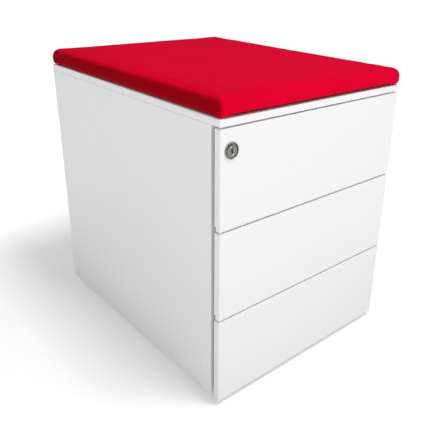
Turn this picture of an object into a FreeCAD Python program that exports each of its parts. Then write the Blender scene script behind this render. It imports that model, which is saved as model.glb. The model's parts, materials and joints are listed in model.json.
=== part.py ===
import FreeCAD, Part
import os
import Sketcher

# A low steel drawer pedestal on hidden castors, with three handleless drawers, a central lock
# and a loose seat pad.  Millimetres.  X runs across the width, the drawers open towards -Y,
# Z points up, and the origin is at the centre of the footprint, on the floor.

DRIVING = {
    # the cabinet
    "cabinet_wide": 420.0,
    "cabinet_deep": 536.0,
    "cabinet_high": 500.0,
    "steel": 1.0,
    "heavy_steel": 1.2,
    "bend": 1.6,
    "seam_bend": 0.9,
    "lid_edge": 11.5,
    "lid_hem": 30.0,
    "side_lift": 8.0,
    "front_flange": 22.0,
    "rear_flange": 14.0,
    "shelf_flange": 15.0,
    "base_lift": 12.0,
    "base_skirt": 12.0,
    "upright_deep": 30.0,
    "rear_upright_room": 46.0,
    "rail_high": 26.0,
    "rail_deep": 20.0,
    # the drawers
    "front_lift": 10.0,
    "front_return": 12.0,
    "finger_gap": 9.5,
    "front_gap": 2.5,
    "bottom_extra": 2.0,
    "middle_less": 3.0,
    "notch_high": 8.0,
    "notch_deep": 3.0,
    "liner_set": 3.4,
    "tray_clear": 4.0,
    "tray_headroom": 12.0,
    "tray_under": 16.0,
    "tray_rim": 6.0,
    "tray_fold": 0.8,
    "tray_screw_inset": 40.0,
    "tray_screw_edge": 18.0,
    # the slides
    "slide_wide": 13.0,
    "slide_high": 35.0,
    "slide_lip": 2.0,
    "slide_front_room": 2.0,
    "slide_rear_room": 59.5,
    "slide_engaged": 90.0,
    "slide_stop": 2.0,
    "slide_screw_in": 9.0,
    "inner_high": 24.0,
    "ball": 3.7,
    "ball_hole": 4.3,
    "ball_pitch": 13.0,
    "cage_wide": 6.0,
    "cage_play": 3.0,
    "move_gap": 0.3,
    # the lock
    "lock_inset": 20.6,
    "lock_drop": 33.4,
    "lock_ring": 25.0,
    "lock_ring_proud": 2.0,
    "lock_ring_round": 0.8,
    "lock_barrel": 20.5,
    "lock_face": 18.0,
    "lock_face_deep": 4.0,
    "lock_face_set": 0.3,
    "lock_core": 13.0,
    "lock_tail": 6.0,
    "lock_nut": 27.0,
    "lock_nut_thick": 5.0,
    "fit": 0.06,
    "key_slot_wide": 2.2,
    "key_slot_high": 7.2,
    "key_slot_deep": 7.0,
    "cam_set": 2.7,
    "cam_thick": 2.0,
    "cam_reach": 17.0,
    "cam_wide": 9.0,
    "cam_room": 3.0,
    "bar_wide": 14.0,
    "bar_thick": 2.0,
    "bar_set": 9.5,
    "bar_end_room": 10.0,
    "tab_high": 6.0,
    "tab_over": 0.9,
    "tab_slot_room": 4.0,
    "tab_slot_play": 3.0,
    "tab_reach": 7.0,
    "lug_high": 7.0,
    "lug_reach": 8.5,
    "lug_thick": 3.0,
    "lug_above": 4.5,
    "lug_behind": 1.5,
    "guide_high": 10.0,
    "guide_wall": 2.5,
    "guide_low": 22.0,
    "guide_top": 26.0,
    # the castors
    "castor_in": 60.0,
    "castor_along": 78.0,
    "wheel": 40.0,
    "wheel_wide": 12.0,
    "wheel_round": 2.5,
    "wheel_dish": 1.5,
    "wheel_rim": 5.0,
    "trail": 14.0,
    "castor_web": 6.0,
    "castor_hub": 20.0,
    "castor_stem": 8.0,
    "castor_axle": 5.0,
    "fork_front": 9.0,
    "fork_toe": 5.6,
    "fork_reach": 8.0,
    "fork_neck": 10.0,
    "fork_half": 8.0,
    "plate_side": 42.0,
    "plate_thick": 2.5,
    "boss": 18.0,
    "boss_deep": 4.0,
    "plate_screw_in": 6.0,
    # fasteners
    "screw": 4.0,
    "screw_head": 7.6,
    "screw_head_thick": 1.8,
    "screw_grip": 6.0,
    "screw_play": 0.2,
    "lid_screw_in": 8.0,
    "lid_screw_along": 60.0,
    # the seat pad
    "mat_thick": 1.2,
    "mat_inset": 10.0,
    "board_thick": 2.0,
    "board_inset": 12.0,
    "cover_shy": 1.0,
    "cover_high": 26.8,
    "cover_skin": 1.5,
    "cover_corner": 9.0,
    "cover_top_round": 10.0,
    "cover_bottom_round": 6.0,
}

NEAR = 1e-4

doc = FreeCAD.newDocument("drawer_pedestal")
sheet = doc.addObject("Spreadsheet::Sheet", "dims")
kept = []


class Size:
    """A length that carries its number and the sheet expression that it comes from."""

    def __init__(self, number, text):
        self.number = number
        self.text = text

    def joined(self, sign, other, number):
        return Size(number, "(%s %s %s)" % (self.text, sign, other.text))

    def __add__(self, other):
        other = as_size(other)
        return self.joined("+", other, self.number + other.number)

    def __sub__(self, other):
        other = as_size(other)
        return self.joined("-", other, self.number - other.number)

    def __mul__(self, other):
        other = as_size(other)
        return self.joined("*", other, self.number * other.number)

    def __truediv__(self, other):
        other = as_size(other)
        return self.joined("/", other, self.number / other.number)

    def __radd__(self, other):
        return as_size(other) + self

    def __rsub__(self, other):
        return as_size(other) - self

    def __rmul__(self, other):
        return as_size(other) * self

    def __neg__(self):
        return as_size(0.0) - self


def as_size(value):
    if isinstance(value, Size):
        return value
    return Size(float(value), "(%r)" % float(value))


def fill_sheet():
    for row, (name, number) in enumerate(DRIVING.items(), start=1):
        sheet.set("A%d" % row, name)
        sheet.set("B%d" % row, repr(number))
        sheet.setAlias("B%d" % row, name)
    doc.recompute()


def dim(name):
    return Size(float(sheet.get(name)), "dims.%s" % name)


fill_sheet()

# ---------------------------------------------------------------- shared places

steel = dim("steel")
heavy = dim("heavy_steel")
bend = dim("bend")
gap = dim("move_gap")
fit = dim("fit")

half_wide = dim("cabinet_wide") / 2
front_face = -dim("cabinet_deep") / 2
back_face = dim("cabinet_deep") / 2
wall_inside = half_wide - steel
back_inside = back_face - 2 * steel
carcass_front = front_face + dim("front_return") + dim("finger_gap")
lid_top = dim("cabinet_high")
side_top = lid_top - dim("lid_edge")
base_low = dim("wheel") + dim("base_lift")
base_top = base_low + steel
column_top = side_top - steel

web_face = half_wide - dim("front_flange")
tray_half = web_face - dim("slide_wide")

front_share = (side_top - dim("front_lift") - 3 * dim("front_gap")) / 3
bottom_high = front_share + dim("bottom_extra")
middle_high = front_share - dim("middle_less")
bottom_low = dim("front_lift")
middle_low = bottom_low + bottom_high + dim("front_gap")
top_low = middle_low + middle_high + dim("front_gap")
top_high = side_top - dim("front_gap") - top_low

tray_floor = base_top + dim("tray_clear")
tray_high = bottom_low + bottom_high - dim("tray_headroom") - tray_floor
liner_back = front_face + dim("front_return") - dim("liner_set")

slide_front = carcass_front + steel + dim("slide_front_room")
slide_back = back_inside - dim("slide_rear_room")
slide_long = slide_back - slide_front
slide_travel = slide_long - dim("slide_engaged")
inner_back = slide_back - heavy - dim("slide_stop") - gap
slide_middle = tray_high / 2
slide_half = dim("slide_high") / 2
front_upright_back = carcass_front + steel + dim("upright_deep")
rear_upright_back = back_inside - dim("rear_upright_room")
rear_upright_front = rear_upright_back - dim("upright_deep")
slide_screw_front = front_upright_back - dim("slide_screw_in")
slide_screw_rear = rear_upright_front + dim("slide_screw_in")

lock_x = dim("lock_inset") - half_wide
lock_z = top_low + top_high - dim("lock_drop")
cam_front = carcass_front + dim("cam_set")
cam_back = cam_front + dim("cam_thick")
bar_front = carcass_front + steel + dim("bar_set")
bar_back = bar_front + dim("bar_thick")
bar_right = -web_face - heavy - dim("guide_wall") - gap
bar_left = bar_right - dim("bar_wide")
lug_low = slide_middle + slide_half + dim("lug_above")
tab_low = lug_low + dim("lug_high") + dim("tab_over")

plate_low = base_low - dim("plate_thick")
boss_low = plate_low - dim("boss_deep")
castor_x = half_wide - dim("castor_in")
castor_y = back_face - dim("castor_along")

mat_low = lid_top
board_low = mat_low + dim("mat_thick")
cover_low = board_low + dim("board_thick")

# name, front bottom, front height, tray bottom, relief notches
DRAWERS = [
    ("top", top_low, top_high, top_low + dim("tray_under"), True),
    ("middle", middle_low, middle_high, middle_low + dim("tray_under"), True),
    ("bottom", bottom_low, bottom_high, tray_floor, False),
]
SIDES = [("left", -1), ("right", 1)]


# ---------------------------------------------------------------- drawing helpers

def place(item, x=0, y=0, z=0):
    for axis, value in (("x", x), ("y", y), ("z", z)):
        value = as_size(value)
        if value.text != "(0.0)":
            item.setExpression("Placement.Base.%s" % axis, value.text)


def new_body(name, x=0, y=0, z=0):
    body = doc.addObject("PartDesign::Body", name)
    body.Label = name
    place(body, x, y, z)
    kept.append(body)
    return body


def new_sketch(body, plane, height):
    """A sketch on one of the body's own planes, moved along that plane's normal."""
    drawing = body.newObject("Sketcher::SketchObject", "%s_sketch" % body.Label)
    base = [each for each in body.Origin.OriginFeatures if each.Role == plane][0]
    drawing.AttachmentSupport = [(base, "")]
    drawing.MapMode = "FlatFace"
    drawing.setExpression("AttachmentOffset.Base.z", as_size(height).text)
    return drawing


def pin(drawing, element, vertex, x, y):
    for kind, value in (("DistanceX", as_size(x)), ("DistanceY", as_size(y))):
        rule = Sketcher.Constraint(kind, -1, 1, element, vertex, value.number)
        index = drawing.addConstraint(rule)
        drawing.setExpression("Constraints[%d]" % index, value.text)


def draw_outline(drawing, points):
    points = [(as_size(x), as_size(y)) for x, y in points]
    corners = [FreeCAD.Vector(x.number, y.number, 0) for x, y in points]
    lines = []
    for index, corner in enumerate(corners):
        after = corners[(index + 1) % len(corners)]
        lines.append(drawing.addGeometry(Part.LineSegment(corner, after)))
    for index, line in enumerate(lines):
        after = lines[(index + 1) % len(lines)]
        drawing.addConstraint(Sketcher.Constraint("Coincident", line, 2, after, 1))
        pin(drawing, line, 1, *points[index])


def draw_rectangle(drawing, x0, x1, y0, y1):
    draw_outline(drawing, [(x0, y0), (x1, y0), (x1, y1), (x0, y1)])


def draw_circle(drawing, x, y, radius):
    x, y, radius = as_size(x), as_size(y), as_size(radius)
    ring = Part.Circle(FreeCAD.Vector(x.number, y.number, 0), FreeCAD.Vector(0, 0, 1), radius.number)
    element = drawing.addGeometry(ring)
    pin(drawing, element, 3, x, y)
    index = drawing.addConstraint(Sketcher.Constraint("Radius", element, radius.number))
    drawing.setExpression("Constraints[%d]" % index, radius.text)


# A plane's normal is +Z for XY, -Y for XZ and +X for YZ.  A pad runs along it and a pocket
# runs against it, so each starts from the end that leaves the wanted span.

def span_start(plane, low, high, cutting):
    low, high = as_size(low), as_size(high)
    if plane == "XZ_Plane":
        return -low if cutting else -high
    return high if cutting else low


def add(body, plane, low, high, draw):
    drawing = new_sketch(body, plane, span_start(plane, low, high, False))
    draw(drawing)
    feature = body.newObject("PartDesign::Pad", "%s_pad" % body.Label)
    feature.Profile = drawing
    feature.setExpression("Length", (as_size(high) - as_size(low)).text)
    return feature


def cut(body, plane, low, high, draw):
    doc.recompute()
    before = body.Shape.Volume
    drawing = new_sketch(body, plane, span_start(plane, low, high, True))
    draw(drawing)
    feature = body.newObject("PartDesign::Pocket", "%s_pocket" % body.Label)
    feature.Profile = drawing
    feature.setExpression("Length", (as_size(high) - as_size(low)).text)
    doc.recompute()
    if body.Shape.Volume > before - NEAR:
        raise ValueError("%s: a pocket cuts nothing" % body.Label)
    return feature


def add_box(body, x0, x1, y0, y1, z0, z1):
    return add(body, "XY_Plane", z0, z1, lambda d: draw_rectangle(d, x0, x1, y0, y1))


def cut_box(body, x0, x1, y0, y1, z0, z1):
    return cut(body, "XY_Plane", z0, z1, lambda d: draw_rectangle(d, x0, x1, y0, y1))


def draw_circles(places, radius):
    def draw(drawing):
        for x, y in places:
            draw_circle(drawing, x, y, radius)
    return draw


def edge_lies(edge, x=None, y=None, z=None):
    """True where the edge stays in every named plane."""
    box = edge.BoundBox
    spans = {"x": (box.XMin, box.XMax), "y": (box.YMin, box.YMax), "z": (box.ZMin, box.ZMax)}
    for axis, wanted in (("x", x), ("y", y), ("z", z)):
        if wanted is None:
            continue
        low, high = spans[axis]
        hits = [w for w in wanted if abs(low - w.number) < NEAR and abs(high - w.number) < NEAR]
        if not hits:
            return False
    return True


def round_edges(body, radius, *wheres):
    doc.recompute()
    tip = body.Tip
    chosen = []
    for index, edge in enumerate(tip.Shape.Edges, start=1):
        if any(edge_lies(edge, **where) for where in wheres):
            chosen.append("Edge%d" % index)
    feature = body.newObject("PartDesign::Fillet", "%s_fillet" % body.Label)
    feature.Base = (tip, chosen)
    feature.setExpression("Radius", as_size(radius).text)
    doc.recompute()
    return feature


def signed(side, near, far):
    """The two X limits of something that lies between two distances from the centre."""
    near, far = as_size(near), as_size(far)
    return (near, far) if side > 0 else (-far, -near)


# ---------------------------------------------------------------- carcass

def side_panel(word, side):
    body = new_body("side_panel_%s" % word)
    wall_back = back_face - steel
    outer = side * half_wide
    inner = side * wall_inside
    lip = side * web_face
    tail = side * (half_wide - dim("rear_flange"))

    def plan(drawing):
        draw_outline(drawing, [
            (lip, carcass_front), (outer, carcass_front), (outer, wall_back), (tail, wall_back),
            (tail, wall_back - steel), (inner, wall_back - steel),
            (inner, carcass_front + steel), (lip, carcass_front + steel),
        ])

    add(body, "XY_Plane", dim("side_lift"), side_top, plan)
    shelf = signed(side, half_wide - dim("shelf_flange"), wall_inside)
    add_box(body, *shelf, carcass_front + steel, wall_back - steel, column_top, side_top)
    low_shelf_top = dim("side_lift") + steel
    add_box(body, *shelf, carcass_front + steel, wall_back - steel, dim("side_lift"), low_shelf_top)
    round_edges(body, bend, {"x": [outer], "y": [carcass_front]})
    round_edges(body, dim("seam_bend"), {"x": [outer], "z": [side_top, dim("side_lift")]})
    holes = [(side * (half_wide - dim("lid_screw_in")), way * lid_screw_y()) for way in (-1, 1)]
    cut(body, "XY_Plane", column_top, side_top, draw_circles(holes, screw_hole()))
    if side < 0:
        lock_clearance(body)
    return body


def lid_screw_y():
    return back_face - dim("lid_screw_along")


def screw_hole():
    return dim("screw") / 2 + dim("screw_play")


def lock_clearance(body):
    """The opening that the lock's tail and cam pass through as the top drawer closes."""
    reach = dim("lock_barrel") / 2 + dim("cam_room")
    far = dim("cam_reach") + dim("cam_wide") / 2 + dim("cam_room")
    cut_box(body, lock_x - reach, -web_face + steel, carcass_front - steel, bar_front - dim("cam_room"),
            lock_z - far, lock_z + reach)


def upright(name, side, low_y, high_y, lock_column):
    body = new_body(name)
    face = side * web_face
    behind = side * (web_face + heavy)
    foot = side * wall_inside

    def plan(drawing):
        draw_outline(drawing, [
            (face, low_y), (foot, low_y), (foot, low_y + heavy), (behind, low_y + heavy),
            (behind, high_y - heavy), (foot, high_y - heavy), (foot, high_y), (face, high_y),
        ])

    add(body, "XY_Plane", base_top, column_top, plan)
    screw_y = slide_screw_front if low_y.number < 0 else slide_screw_rear
    holes = [(screw_y, tray_low + slide_middle) for _, _, _, tray_low, _ in DRAWERS]
    cut(body, "YZ_Plane", *signed(side, web_face, web_face + heavy), draw_circles(holes, screw_hole()))
    if lock_column:
        lock_clearance(body)
        play = dim("tab_slot_play")
        room = dim("tab_slot_room")
        for _, _, _, tray_low, _ in DRAWERS:
            cut_box(body, -web_face - heavy, -web_face, bar_front - play, bar_back + play,
                    tray_low + lug_low - room, tray_low + tab_low + dim("tab_high") + room)
    return body


def back_panel():
    body = new_body("back_panel")
    low = dim("side_lift")
    add_box(body, -half_wide, half_wide, back_face - steel, back_face, low, side_top)
    lip = half_wide - dim("shelf_flange") - dim("rear_flange")
    lip_front = back_inside - dim("shelf_flange")
    add_box(body, -lip, lip, lip_front, back_face - steel, column_top, side_top)
    add_box(body, -lip, lip, lip_front, back_face - steel, low, low + steel)
    return body


def base_pan():
    body = new_body("base_pan")
    front = carcass_front + steel
    skirt_low = base_low - dim("base_skirt")
    add_box(body, -wall_inside, wall_inside, front, back_inside, skirt_low, base_top)
    round_edges(body, bend, {"y": [front], "z": [base_top]})
    cut_box(body, heavy - wall_inside, wall_inside - heavy, front + heavy, back_inside - heavy,
            skirt_low, base_low)
    cut(body, "XY_Plane", base_low, base_top, draw_circles(castor_screw_places(), screw_hole()))
    return body


def top_lid():
    body = new_body("top_lid")
    hem = dim("lid_hem")
    sides = [-half_wide, half_wide]
    ends = [front_face, back_face]
    add_box(body, -half_wide, half_wide, front_face, back_face, side_top, lid_top)
    round_edges(body, bend, {"x": sides, "y": ends})
    round_edges(body, bend, {"z": [lid_top]})
    round_edges(body, dim("seam_bend"), {"z": [side_top]})
    cut_box(body, -wall_inside, wall_inside, front_face + steel, back_face - steel,
            side_top + steel, lid_top - steel)
    cut_box(body, hem - half_wide, half_wide - hem, front_face + hem, back_face - hem,
            side_top, side_top + steel)
    holes = [(side * (half_wide - dim("lid_screw_in")), way * lid_screw_y())
             for side in (-1, 1) for way in (-1, 1)]
    cut(body, "XY_Plane", side_top, side_top + steel, draw_circles(holes, screw_hole()))
    return body


def front_top_rail():
    body = new_body("front_top_rail")
    low_y = carcass_front + steel
    high_y = low_y + dim("rail_deep")
    low_z = side_top - dim("rail_high")

    def section(drawing):
        draw_outline(drawing, [
            (low_y, low_z), (high_y, low_z), (high_y, low_z + heavy), (low_y + heavy, low_z + heavy),
            (low_y + heavy, side_top - heavy), (high_y, side_top - heavy),
            (high_y, side_top), (low_y, side_top),
        ])

    add(body, "YZ_Plane", -web_face, web_face, section)
    return body


# ---------------------------------------------------------------- slides

def outer_slide(drawer, word, side, tray_low):
    body = new_body("%s_outer_slide_%s" % (drawer, word), z=tray_low + slide_middle)
    back = side * web_face
    web = side * (web_face - heavy)
    mouth = side * (tray_half + dim("slide_lip"))

    def section(drawing):
        # drawn across X and Z
        draw_outline(drawing, [
            (back, -slide_half), (back, slide_half), (mouth, slide_half), (mouth, slide_half - heavy),
            (web, slide_half - heavy), (web, heavy - slide_half), (mouth, heavy - slide_half),
            (mouth, -slide_half),
        ])

    add(body, "XZ_Plane", slide_front, slide_back, section)
    stop_half = dim("inner_high") / 2 - heavy
    stop = signed(side, tray_half + dim("slide_lip"), web_face - heavy)
    add_box(body, *stop, slide_back - heavy, slide_back, -stop_half, stop_half)
    holes = [(slide_screw_front, 0), (slide_screw_rear, 0)]
    cut(body, "YZ_Plane", *signed(side, web_face - heavy, web_face), draw_circles(holes, screw_hole()))
    return body


def inner_slide(drawer, word, side, tray_low):
    body = new_body("%s_inner_slide_%s" % (drawer, word), z=tray_low + slide_middle)
    half = dim("inner_high") / 2
    back = side * tray_half
    web = side * (tray_half + heavy)
    mouth = side * (web_face - heavy - dim("slide_lip") - heavy)

    def section(drawing):
        draw_outline(drawing, [
            (back, -half), (mouth, -half), (mouth, heavy - half), (web, heavy - half),
            (web, half - heavy), (mouth, half - heavy), (mouth, half), (back, half),
        ])

    add(body, "XZ_Plane", slide_front, inner_back, section)
    return body


def ball_cages(drawer, tray_low):
    """Four strips with their balls, two in each slide, above and below the inner member."""
    level_z = tray_low + slide_middle
    long = dim("slide_engaged") - 2 * dim("cage_play")
    front = slide_front + slide_travel / 2 + dim("cage_play")
    race = (dim("inner_high") / 2 + slide_half - heavy) / 2
    middle = (tray_half + web_face) / 2
    half = dim("cage_wide") / 2
    thick = steel / 2
    count = int(long.number // dim("ball_pitch").number)
    start = front + (long - (count - 1) * dim("ball_pitch")) / 2
    places = [(side * middle, start + step * dim("ball_pitch"))
              for side in (-1, 1) for step in range(count)]
    strips = new_body("%s_ball_strips" % drawer, z=level_z)
    kept.remove(strips)
    members = [strips]
    for level in (-1, 1):
        height = level * race
        for side in (-1, 1):
            add_box(strips, *signed(side, middle - half, middle + half), front, front + long,
                    height - thick, height + thick)
        cut(strips, "XY_Plane", height - thick, height + thick,
            draw_circles(places, dim("ball_hole") / 2))
        for x, y in places:
            ball = doc.addObject("Part::Sphere", "%s_ball" % drawer)
            ball.setExpression("Radius", (dim("ball") / 2).text)
            place(ball, x, y, level_z + height)
            members.append(ball)
    group = doc.addObject("Part::Compound", "%s_ball_cages" % drawer)
    group.Label = "%s_ball_cages" % drawer
    group.Links = members
    kept.append(group)
    return group


def slide_bumpers():
    body = new_body("drawer_bumpers")
    half = dim("inner_high") / 2 - 2 * heavy
    front = slide_back - heavy - dim("slide_stop")
    for _, _, _, tray_low, _ in DRAWERS:
        middle = tray_low + slide_middle
        for side in (-1, 1):
            block = signed(side, tray_half + dim("slide_lip"), web_face - 2 * heavy)
            add_box(body, *block, front, slide_back - heavy, middle - half, middle + half)
    return body


# ---------------------------------------------------------------- drawers

def drawer_screw_places():
    x = tray_half - dim("tray_screw_inset")
    edge = dim("tray_screw_edge")
    return [(side * x, height) for side in (-1, 1) for height in (edge, tray_high - edge)]


def drawer_front(drawer, low, high, notched, locked):
    body = new_body("%s_drawer_front" % drawer, z=low)
    back = front_face + dim("front_return")
    add_box(body, -half_wide, half_wide, front_face, back, 0, high)
    sides = [-half_wide, half_wide]
    ends = [as_size(0), high]
    round_edges(body, bend, {"x": sides, "z": ends}, {"y": [front_face]})
    cut_box(body, -wall_inside, wall_inside, front_face + steel, back, steel, high - steel)
    if notched:
        for side in (-1, 1):
            cut_box(body, *signed(side, wall_inside - steel, half_wide + steel),
                    back - dim("notch_deep"), back, -steel, dim("notch_high"))
    if locked:
        cut(body, "XZ_Plane", front_face, front_face + steel,
            draw_circles([(lock_x, lock_z - low)], dim("lock_barrel") / 2 + fit))
    return body


def front_liner(drawer, low, high, tray_low, locked):
    body = new_body("%s_front_liner" % drawer, z=low)
    front = liner_back - steel
    add_box(body, -wall_inside, wall_inside, front, liner_back, steel, high - steel)
    shift = tray_low - low
    holes = [(x, z + shift) for x, z in drawer_screw_places()]
    cut(body, "XZ_Plane", front, liner_back, draw_circles(holes, screw_hole()))
    if locked:
        cut(body, "XZ_Plane", front, liner_back,
            draw_circles([(lock_x, lock_z - low)], dim("lock_barrel") / 2 + fit))
    return body


def tray_part(drawer, word, tray_low):
    body = new_body("%s_tray_%s" % (drawer, word), z=tray_low)
    kept.remove(body)
    return body


def drawer_tray(drawer, tray_low):
    """The tray's floor and four walls, with the catch that the locking bar stops on its left."""
    inside = tray_half - steel
    rim = dim("tray_rim")
    floor = tray_part(drawer, "floor", tray_low)
    add_box(floor, -tray_half, tray_half, liner_back, inner_back, 0, steel)
    round_edges(floor, dim("tray_fold"), {"x": [-tray_half, tray_half], "z": [as_size(0)]})
    members = [floor]
    for word, side in SIDES:
        wall = tray_part(drawer, word, tray_low)
        add_box(wall, *signed(side, inside, tray_half), liner_back, inner_back, steel, tray_high)
        add_box(wall, *signed(side, inside - rim, inside), liner_back + steel, inner_back - steel,
                tray_high - steel, tray_high)
        members.append(wall)
    for word, start in (("front", liner_back), ("rear", inner_back - steel)):
        wall = tray_part(drawer, word, tray_low)
        add_box(wall, -inside, inside, start, start + steel, steel, tray_high)
        if word == "front":
            cut(wall, "XZ_Plane", start, start + steel,
                draw_circles(drawer_screw_places(), screw_hole()))
        members.append(wall)
    catch = doc.addObject("Part::Box", "%s_tray_catch" % drawer)
    catch.setExpression("Length", dim("lug_reach").text)
    catch.setExpression("Width", dim("lug_thick").text)
    catch.setExpression("Height", dim("lug_high").text)
    place(catch, -tray_half - dim("lug_reach"), bar_back + dim("lug_behind"), tray_low + lug_low)
    group = doc.addObject("Part::Compound", "%s_drawer_tray" % drawer)
    group.Label = "%s_drawer_tray" % drawer
    group.Links = members + [catch]
    kept.append(group)
    return group


def drawer_screws(drawer, tray_low):
    body = new_body("%s_drawer_screws" % drawer, z=tray_low)
    seat = liner_back + steel
    head_back = seat + dim("screw_head_thick")
    places = drawer_screw_places()
    add(body, "XZ_Plane", seat, head_back, draw_circles(places, dim("screw_head") / 2))
    add(body, "XZ_Plane", seat - dim("screw_grip"), seat, draw_circles(places, dim("screw") / 2))
    return body


# ---------------------------------------------------------------- lock

def lock_housing():
    body = new_body("lock_housing", x=lock_x, z=lock_z)
    ring_front = front_face - dim("lock_ring_proud")
    barrel_end = carcass_front - gap
    face_end = ring_front + dim("lock_face_deep") + gap
    add(body, "XZ_Plane", ring_front, front_face, draw_circles([(0, 0)], dim("lock_ring") / 2))
    round_edges(body, dim("lock_ring_round"), {"y": [ring_front]})
    add(body, "XZ_Plane", front_face, barrel_end, draw_circles([(0, 0)], dim("lock_barrel") / 2))
    cut(body, "XZ_Plane", ring_front, face_end, draw_circles([(0, 0)], dim("lock_face") / 2 + fit))
    cut(body, "XZ_Plane", face_end, barrel_end, draw_circles([(0, 0)], dim("lock_core") / 2 + fit))
    return body


def lock_plug():
    body = new_body("lock_plug", x=lock_x, z=lock_z)
    face = front_face - dim("lock_ring_proud") + dim("lock_face_set")
    face_end = face + dim("lock_face_deep") - dim("lock_face_set")
    core_end = carcass_front - gap
    add(body, "XZ_Plane", face, face_end, draw_circles([(0, 0)], dim("lock_face") / 2))
    add(body, "XZ_Plane", face_end, core_end, draw_circles([(0, 0)], dim("lock_core") / 2))
    add(body, "XZ_Plane", core_end, cam_back + gap, draw_circles([(0, 0)], dim("lock_tail") / 2))
    wide = dim("key_slot_wide") / 2
    high = dim("key_slot_high") / 2
    cut(body, "XZ_Plane", face, face + dim("key_slot_deep"),
        lambda d: draw_rectangle(d, -wide, wide, -high, high))
    return body


def lock_cam():
    body = new_body("lock_cam", x=lock_x, z=lock_z)
    half = dim("cam_wide") / 2
    add(body, "XZ_Plane", cam_front, cam_back, draw_circles([(0, 0)], half + steel))
    add(body, "XZ_Plane", cam_front, cam_back,
        lambda d: draw_rectangle(d, -half, half, -dim("cam_reach"), 0))
    cut(body, "XZ_Plane", cam_front, cam_back, draw_circles([(0, 0)], dim("lock_tail") / 2 + fit))
    return body


def lock_nut():
    body = new_body("lock_nut", x=lock_x, z=lock_z)
    seat = front_face + steel
    half = dim("lock_nut") / 2
    corner = half / 2
    flat = half * (3 ** 0.5 / 2)

    def hexagon(drawing):
        draw_outline(drawing, [(-half, 0), (-corner, -flat), (corner, -flat),
                               (half, 0), (corner, flat), (-corner, flat)])

    add(body, "XZ_Plane", seat, seat + dim("lock_nut_thick"), hexagon)
    cut(body, "XZ_Plane", seat, seat + dim("lock_nut_thick"),
        draw_circles([(0, 0)], dim("lock_barrel") / 2 + fit))
    return body


def lock_bar():
    body = new_body("lock_bar")
    top = column_top - dim("bar_end_room")
    add_box(body, bar_left, bar_right, bar_front, bar_back, base_top + dim("bar_end_room"), top)
    for _, _, _, tray_low, _ in DRAWERS:
        low = tray_low + tab_low
        add_box(body, bar_right, dim("tab_reach") - web_face, bar_front, bar_back,
                low, low + dim("tab_high"))
    return body


def lock_bar_guides():
    body = new_body("lock_bar_guides")
    wall = dim("guide_wall")
    low_start = base_top + dim("guide_low")
    high_start = column_top - dim("guide_top")
    for low in (low_start, high_start):
        add_box(body, -wall_inside, -web_face - heavy, bar_front - wall, bar_back + wall,
                low, low + dim("guide_high"))
        cut_box(body, bar_left - gap, bar_right + gap, bar_front - gap, bar_back + gap,
                low, low + dim("guide_high"))
    return body


# ---------------------------------------------------------------- castors

CASTORS = [("front_left", -1, -1), ("front_right", 1, -1), ("rear_left", -1, 1), ("rear_right", 1, 1)]


def castor_screw_places():
    step = dim("plate_side") / 2 - dim("plate_screw_in")
    return [(x_side * castor_x + x_way * step, y_side * castor_y + y_way * step)
            for _, x_side, y_side in CASTORS for x_way in (-1, 1) for y_way in (-1, 1)]


def castor_plates():
    body = new_body("castor_plates")
    half = dim("plate_side") / 2
    centres = [(x_side * castor_x, y_side * castor_y) for _, x_side, y_side in CASTORS]
    for x, y in centres:
        add_box(body, x - half, x + half, y - half, y + half, plate_low, base_low)
    add(body, "XY_Plane", boss_low, plate_low, draw_circles(centres, dim("boss") / 2))
    cut(body, "XY_Plane", boss_low, base_low, draw_circles(centres, dim("castor_stem") / 2 + fit))
    cut(body, "XY_Plane", plate_low, base_low, draw_circles(castor_screw_places(), screw_hole()))
    return body


def castor_fork(name, x_side, y_side):
    body = new_body("%s_castor_fork" % name, x=x_side * castor_x, y=y_side * castor_y)
    wheel_top = dim("wheel") + gap
    hub_top = boss_low - gap
    half = dim("castor_web") / 2
    reach = dim("trail") + dim("fork_reach")
    axle_z = dim("wheel") / 2
    arm = dim("fork_half")
    front = dim("fork_front")
    add(body, "XY_Plane", wheel_top, hub_top, draw_circles([(0, 0)], dim("castor_hub") / 2))
    add(body, "XY_Plane", hub_top, base_low - gap, draw_circles([(0, 0)], dim("castor_stem") / 2))

    def web(drawing):
        draw_outline(drawing, [
            (-front, wheel_top), (-front, axle_z + dim("fork_neck")), (dim("fork_toe"), axle_z - arm),
            (reach, axle_z - arm), (reach, axle_z + arm), (front, wheel_top),
        ])

    add(body, "YZ_Plane", -half, half, web)
    cut(body, "YZ_Plane", -half, half,
        draw_circles([(dim("trail"), axle_z)], dim("castor_axle") / 2 + fit))
    return body


def castor_wheels(name, x_side, y_side):
    """Two wheels on one axle, which turn as one."""
    body = new_body("%s_castor_wheels" % name, x=x_side * castor_x,
                    y=y_side * castor_y + dim("trail"), z=dim("wheel") / 2)
    near = dim("castor_web") / 2 + gap
    far = near + dim("wheel_wide")
    radius = dim("wheel") / 2
    add(body, "YZ_Plane", -near, near, draw_circles([(0, 0)], dim("castor_axle") / 2))
    for side in (-1, 1):
        add(body, "YZ_Plane", *signed(side, near, far), draw_circles([(0, 0)], radius))
        round_edges(body, dim("wheel_round"), {"x": [side * far]})
        cut(body, "YZ_Plane", *signed(side, far - dim("wheel_dish"), far),
            draw_circles([(0, 0)], radius - dim("wheel_rim")))
    return body


# ---------------------------------------------------------------- fasteners of the carcass

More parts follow.
